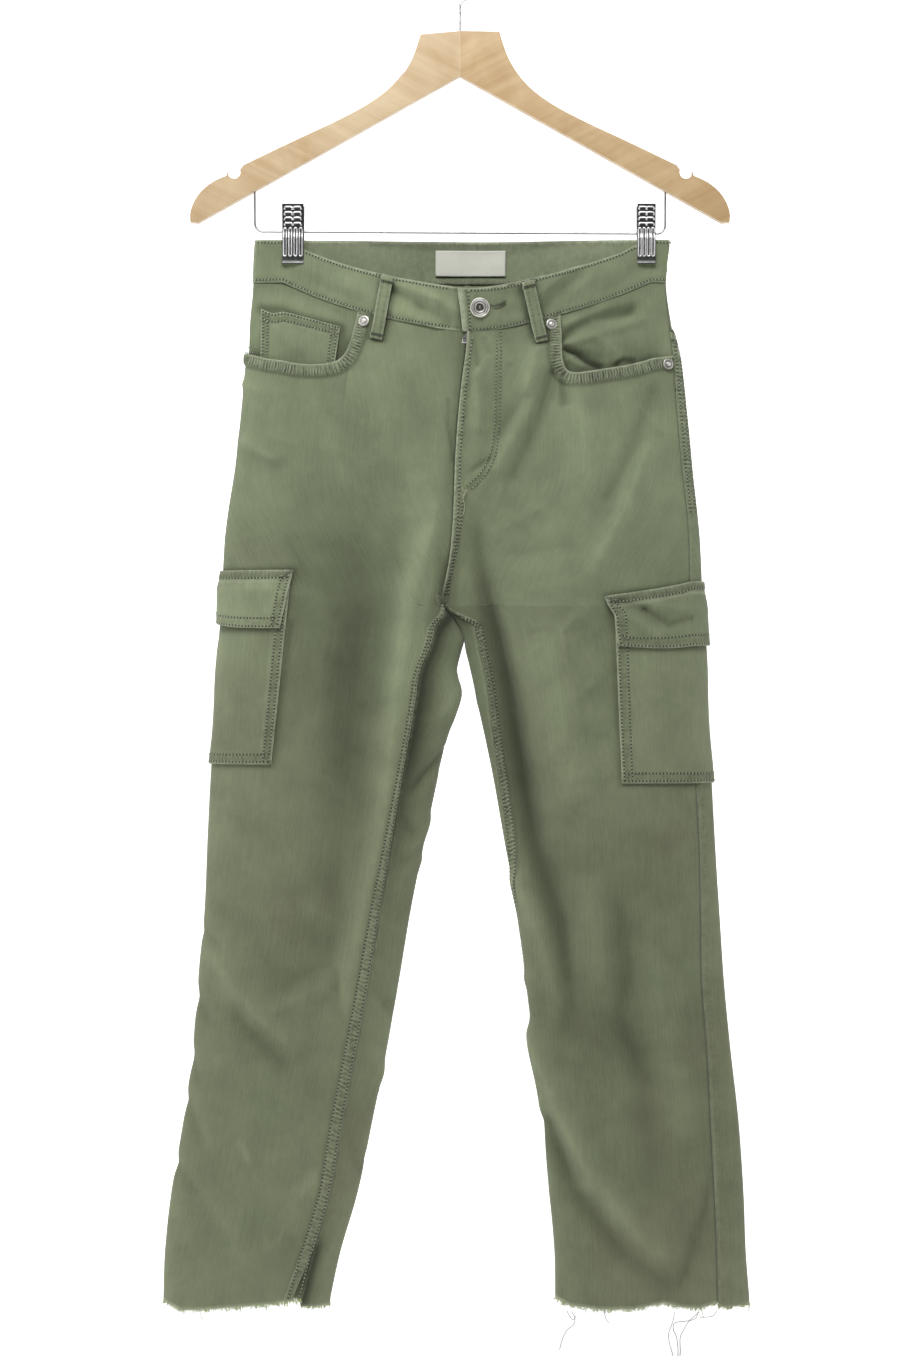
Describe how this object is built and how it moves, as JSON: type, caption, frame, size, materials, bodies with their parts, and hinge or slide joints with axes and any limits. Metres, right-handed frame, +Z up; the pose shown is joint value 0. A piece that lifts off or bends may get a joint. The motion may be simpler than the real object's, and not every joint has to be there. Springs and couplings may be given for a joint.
{
  "type": "cropped cargo jeans on a wooden clip hanger",
  "caption": "Straight cropped cargo jeans with raw hems, clipped by the waistband to a wooden hanger whose steel hook hangs on a rail.",
  "frame": {"origin": "the inside of the hook's crown, where the rail carries it (mount hang_point)", "axes": "+Z up along the jeans' length, -Y out of the jeans' front, +X to the right of someone who looks at the front"},
  "size_m": [0.4971, 0.0715, 1.1588],
  "materials": {
    "twill": "olive green stretch twill, matt, washed, with paler worn seam edges",
    "fringe": "loosened pale and olive yarns of a raw hem",
    "label": "cream satin weave",
    "antique_silver": "antique silver, worn bright on its rims",
    "varnished_wood": "pale varnished beech",
    "chrome": "nickel plated pressed steel",
    "wire": "plated steel wire"
  },
  "bodies": {
    "root": {"front_left": "twill", "front_right": "twill", "back_left": "twill", "back_right": "twill", "yoke_left": "twill", "yoke_right": "twill", "waistband": "twill", "facing_left": "twill", "facing_right": "twill", "coin_pocket": "twill", "cargo_pocket_left": "twill", "cargo_pocket_right": "twill", "cargo_flap_left": "twill", "cargo_flap_right": "twill", "loop_front_left": "twill", "loop_front_right": "twill", "loop_back_left": "twill", "loop_back_right": "twill", "loop_back_centre": "twill", "fray_left": "fringe", "fray_right": "fringe", "fly_tape": "twill", "zip_slider": "chrome", "label": "label", "button": "antique_silver", "rivet_front_left": "antique_silver", "rivet_front_right": "antique_silver", "rivet_side_left": "antique_silver", "rivet_side_right": "antique_silver", "hanger_left": "varnished_wood", "hanger_right": "varnished_wood", "hook": "chrome", "trouser_bar": "wire", "clip_left_front": "chrome", "clip_left_back": "chrome", "clip_left_spring": "wire", "clip_right_front": "chrome", "clip_right_back": "chrome", "clip_right_spring": "wire"}
  },
  "joints": []
}
